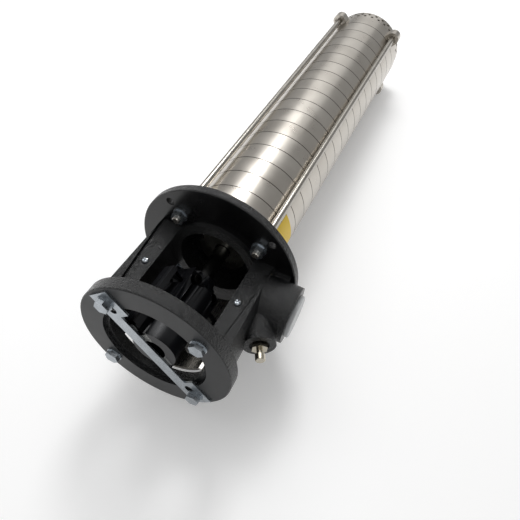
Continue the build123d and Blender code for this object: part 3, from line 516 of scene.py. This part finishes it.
def makeCouplingHalf(sizes, screws):
    gap, shell, wall = sizes["gap"], sizes["shell"], sizes["wall"]
    flankWide, flankHigh = sizes["flank"]
    grooveWide, grooveDeep = sizes["groove"]
    bore = ring(sizes["motorBore"], 24, 180 - sizes["boreEdgeAngle"], sizes["boreEdgeAngle"], False)
    wallAngle = math.degrees(math.acos(wall / shell))
    side = [(flankWide, gap), (flankWide, flankHigh), (wall + grooveWide, flankHigh),
            (wall + grooveWide, flankHigh - grooveDeep), (wall, flankHigh - grooveDeep)]
    farSide = [(-u, v) for u, v in reversed(side)]
    section = side + ring(shell, 20, wallAngle, 180 - wallAngle, False) + farSide + bore
    shape = bmesh.new()
    addLoft(shape, [(section, sizes["flankStart"]), (section, sizes["noseStart"])], couplingPlace)
    half = makePiece("couplingHalfFront", shape, ["couplingIron", "milledIronEdge"])
    lipWide, lipHigh = sizes["lip"]
    lipAngle = math.degrees(math.asin(lipHigh / shell))
    motorSection = ([(lipWide, gap), (lipWide, lipHigh)] + ring(shell, 30, lipAngle, 180 - lipAngle, False)
                    + [(-lipWide, lipHigh), (-lipWide, gap)] + bore)
    # the cone at the pump end, and the ends of the flanks on both sides of it
    noseWide = halfRing(shell, sizes["pumpBore"], gap)
    noseSlim = halfRing(sizes["nose"], sizes["pumpBore"], gap)
    flankBlock = box((sizes["pumpBore"], gap), (flankWide, flankHigh))
    farBlock = [(-u, v) for u, v in flankBlock]
    joined = [
        ([(motorSection, sizes["motorEnd"]), (motorSection, sizes["flankStart"])], couplingPlace),
        ([(noseWide, sizes["noseStart"]), (noseSlim, sizes["noseEnd"])], couplingPlace),
        ([(flankBlock, sizes["noseStart"]), (flankBlock, sizes["flankEnd"])], couplingPlace),
        ([(farBlock, sizes["noseStart"]), (farBlock, sizes["flankEnd"])], couplingPlace),
    ]
    # the long ear on one side, the short one on the other; each has a rim round a shallow recess
    earWide, earHigh = sizes["ear"]
    root, end = sizes["earRoot"], sizes["earEnd"]
    for sign, earStart in ((-1, sizes["motorEnd"]), (1, sizes["flankStart"])):
        plate = box((root, earStart), (earWide, end))
        rims = [box((earWide - sizes["earRim"], earStart), (earWide, end)),
                box((root, end - sizes["earRim"]), (earWide, end))]
        if sign < 0:
            rims.append(box((root, earStart), (earWide, earStart + sizes["earBand"])))
        for outline, top in [(plate, earHigh - sizes["earRecess"])] + [(rim, earHigh) for rim in rims]:
            placed = [(sign * u, v) for u, v in outline]
            joined.append(([(placed, gap), (placed, top)], lyingPlace))
    for layers, toPlace in joined:
        applyTool(half, layers, toPlace, "UNION")
    # seats of the screws: round pockets, and at the pump end ones that are open towards the nose
    high = shell + screws["toolReach"]
    for across, along in screws["places"]:
        openToNose = along > sizes["noseStart"]
        radius = screws["cutAway"] if openToNose else screws["pocket"]
        outline = [(across + u, along + v) for u, v in ring(radius, 32)]
        applyTool(half, [(outline, screws["seat"]), (outline, high)], lyingPlace, "DIFFERENCE")
        if openToNose:
            way = box((across - radius, along), (across + radius, sizes["noseEnd"] + 1))
            applyTool(half, [(way, screws["seat"]), (way, high)], lyingPlace, "DIFFERENCE")
    holeAt, holeRadius = sizes["earHole"]
    for fromEnd in sizes["earHolesFromEnd"]:
        outline = [(-holeAt + u, end - fromEnd + v) for u, v in ring(holeRadius, 20)]
        applyTool(half, [(outline, -1), (outline, earHigh + 1)], lyingPlace, "DIFFERENCE")
    return half


def brightEdges(piece, sizes):
    # milling and handling leave a thin bright line on every corner
    edge = piece.modifiers.new("edge", "BEVEL")
    edge.width = sizes["edgeMm"] * millimetre
    edge.segments = 2
    edge.limit_method = "ANGLE"
    edge.angle_limit = math.radians(sizes["edgeAngle"])
    edge.material = 1  # the piece's second finish, the milled one


couplingFront = makeCouplingHalf(couplingSizes, screwSizes)
# the rear half is the front one's mirror image across the split
couplingRear = couplingFront.copy()
couplingRear.data = couplingFront.data.copy()
couplingRear.name = "couplingHalfRear"
bpy.context.scene.collection.objects.link(couplingRear)
heightWay = Vector(couplingSizes["height"])
mirrored = bmesh.new()
mirrored.from_mesh(couplingRear.data)
for point in mirrored.verts:
    point.co -= heightWay * (2 * point.co.dot(heightWay))
bmesh.ops.reverse_faces(mirrored, faces=mirrored.faces)
mirrored.to_mesh(couplingRear.data)
mirrored.free()
for half, node in ((couplingFront, "coupling_half_front"), (couplingRear, "coupling_half_rear")):
    brightEdges(half, couplingSizes)
    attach(half, "rotor")
    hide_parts(node)


def hexagon(flat):
    # radius of a hexagon at each angle
    return lambda angle: flat / math.cos((angle + math.pi / 6) % (math.pi / 3) - math.pi / 6)


def addSocketScrew(shape, sizes, toPlace):
    headRadius, headHigh = sizes["head"]
    shankRadius, shankLong = sizes["shank"]
    socketFlat, socketDeep = sizes["socket"]
    rows = [(shankRadius, -shankLong), (shankRadius, 0.0), (headRadius, 0.0),
            (headRadius, headHigh - sizes["edge"]), (headRadius - sizes["edge"], headHigh),
            (hexagon(socketFlat), headHigh), (hexagon(socketFlat), headHigh - socketDeep)]
    addLoft(shape, [(ring(radius), depth) for radius, depth in rows], toPlace)


screwShape = bmesh.new()
for screwAcross, screwAlong in screwSizes["places"]:
    addSocketScrew(screwShape, screwSizes, lambda u, v, depth: lyingPlace(
        screwAcross + u, screwAlong + v, screwSizes["seat"] + depth))
couplingScrews = makePiece("couplingSocketScrews", screwShape, ["blackOxideScrewSteel"])
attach(couplingScrews, "rotor")
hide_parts("coupling_screws")
print("coupling made")

# Small pan-head screws of the guard, with a cross recess
guardScrewSizes = {
    "along": -66.0,
    "side": 50.5,
    "seat": 27.0,
    "length": 8.0,
    "shank": 1.95,
    "crossArm": 1.9,
    "crossHalfWidth": 0.5,
    "profile": [(3.6, 0.0), (3.6, 0.7), (3.3, 1.5), (2.6, 2.1)],
    "top": 2.35,
    "recess": 0.9,
}


def cross(arm, halfWidth):
    # radius of a cross at each angle
    def radius(angle):
        turned = angle % (math.pi / 2)
        turned = min(turned, math.pi / 2 - turned)
        return min(arm / math.cos(turned), halfWidth / max(math.sin(turned), 1e-6))
    return radius


def addCrossScrew(shape, sizes, side, facing):
    recess = cross(sizes["crossArm"], sizes["crossHalfWidth"])
    rows = ([(sizes["shank"], -sizes["length"]), (sizes["shank"], 0.0)] + sizes["profile"]
            + [(recess, sizes["top"]), (recess, sizes["recess"])])
    addLoft(shape, [(ring(radius, 64, 20, 380), depth) for radius, depth in rows],
            lambda u, v, depth: (side + u, sizes["along"] + v * facing, facing * (sizes["seat"] + depth)))


guardShape = bmesh.new()
for screwSide in (-guardScrewSizes["side"], guardScrewSizes["side"]):
    for screwFacing in (-1, 1):
        addCrossScrew(guardShape, guardScrewSizes, screwSide, screwFacing)
guardScrews = makePiece("guardCrossScrews", guardShape, [slotFinishes[slotOfNode["guard_screws"]]])
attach(guardScrews, "root")
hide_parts("guard_screws")

# Blank film stuck round the column just behind the tank flange
labelSizes = {
    "radius": 56.56,
    "thickness": 0.12,
    "fromAngle": 55.0,
    "toAngle": 92.0,
    "steps": 18,
    "start": 27.2,
    "end": 61.2,
}


def makeLabel(sizes):
    turn = sizes["toAngle"] - sizes["fromAngle"]
    angles = [math.radians(sizes["fromAngle"] + turn * step / sizes["steps"])
              for step in range(sizes["steps"] + 1)]
    outside = sizes["radius"] + sizes["thickness"]
    outline = [(radius * math.sin(angle), radius * math.cos(angle))
               for radius, row in ((sizes["radius"], angles), (outside, angles[::-1])) for angle in row]
    shape = bmesh.new()
    addLoft(shape, [(outline, sizes["start"]), (outline, sizes["end"])],
            lambda u, v, depth: (u, depth, v))
    return makePiece("blankLabel", shape, ["blankYellowVinyl"])


label = makeLabel(labelSizes)
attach(label, "root")
print("small screws and label made")

# the photograph's viewpoint, in metres, and the camera's right and up directions
cameraView = {
    "place": (0.1431451, -0.3401506, 0.4439016),
    "right": (0.9006105, 0.4164086, 0.1245173),
    "up": (-0.3967339, 0.6706342, 0.6267790),
    "lens": 37.0773,
    "sensorWidth": 36.0,
    "nearest": 0.01,
}
cameraData = bpy.data.cameras.new("photoCamera")
cameraData.lens = cameraView["lens"]
cameraData.sensor_width = cameraView["sensorWidth"]
cameraData.clip_start = cameraView["nearest"]
camera = bpy.data.objects.new("photoCamera", cameraData)
bpy.context.scene.collection.objects.link(camera)
rightWay, upWay = Vector(cameraView["right"]), Vector(cameraView["up"])
backWay = rightWay.cross(upWay)
camera.matrix_world = Matrix.Translation(cameraView["place"]) @ Matrix(
    (rightWay, upWay, backWay)).transposed().to_4x4()
bpy.context.scene.camera = camera

# the pump leans: the rim of its tank flange and one ear at the far end touch the floor
floorLook = {
    "normal": (-0.1079, -0.0633, 0.9921),
    "below": 0.0903,
    "halfSide": 4.0,
    "paper": "#f4f4f4",
    "roughness": 0.6,
    "glow": 0.2,
    "fibreMm": 1.1111,
    "fibreDepthMm": 0.1,
}
floorUp = Vector(floorLook["normal"]).normalized()
floorMesh = bpy.data.meshes.new("floor")
floorShape = bmesh.new()
bmesh.ops.create_grid(floorShape, x_segments=8, y_segments=8, size=floorLook["halfSide"])
floorShape.to_mesh(floorMesh)
floorShape.free()
floor = bpy.data.objects.new("floor", floorMesh)
floor.matrix_world = Matrix.Translation(-floorUp * floorLook["below"]) @ floorUp.to_track_quat(
    "Z", "Y").to_matrix().to_4x4()
bpy.context.scene.collection.objects.link(floor)
floorPaper, floorTree, floorShader, floorPlace = startMaterial(
    "whiteBackgroundPaper", floorLook["paper"], 0.0, floorLook["roughness"])
# the paper lies on a lit table, which keeps the shadows pale
floorShader.inputs["Emission Color"].default_value = linearColour(floorLook["paper"])
floorShader.inputs["Emission Strength"].default_value = floorLook["glow"]
paperFibre = addNode(floorTree, "ShaderNodeTexNoise", {
    "Vector": floorPlace.outputs["Object"], "Scale": 1 / (floorLook["fibreMm"] * millimetre),
    "Detail": 2.0})
paperBump = addNode(floorTree, "ShaderNodeBump", {
    "Strength": 0.05, "Distance": floorLook["fibreDepthMm"] * millimetre,
    "Height": paperFibre.outputs["Fac"]})
floorTree.links.new(paperBump.outputs["Normal"], floorShader.inputs["Normal"])
floorMesh.materials.append(floorPaper)

studio = {
    "world": "#ffffff",
    "worldStrength": 0.34,
    "softboxes": [
        # name, place, what it looks at, side in metres, power in watts
        ("overheadBox", (-0.7, 0.7, 1.55), (0.0, 0.15, 0.0), 1.6, 14.0),
        ("keyBox", (-0.45, 1.1, 1.45), (0.0, 0.0, 0.0), 0.5, 10.0),
        ("backBox", (-0.3, 1.9, 1.1), (0.0, 0.25, 0.0), 1.1, 1.8),
        ("leftBox", (-1.4, -0.3, 0.9), (0.0, 0.1, 0.0), 0.9, 2.0),
        ("frontBox", (0.5, -1.5, 1.3), (0.0, 0.0, 0.0), 1.0, 4.0),
    ],
}
world = bpy.data.worlds.new("studio")
world.use_nodes = True
background = world.node_tree.nodes["Background"]
background.inputs["Color"].default_value = linearColour(studio["world"])
background.inputs["Strength"].default_value = studio["worldStrength"]
bpy.context.scene.world = world
for boxName, boxPlace, boxAim, boxSide, boxPower in studio["softboxes"]:
    lightData = bpy.data.lights.new(boxName, "AREA")
    lightData.shape = "SQUARE"
    lightData.size = boxSide
    lightData.energy = boxPower
    light = bpy.data.objects.new(boxName, lightData)
    light.location = boxPlace
    light.rotation_mode = "QUATERNION"
    light.rotation_quaternion = (Vector(boxAim) - Vector(boxPlace)).to_track_quat("-Z", "Y")
    bpy.context.scene.collection.objects.link(light)
bpy.context.scene.view_settings.view_transform = "Standard"
print("floor, lights and camera ready")
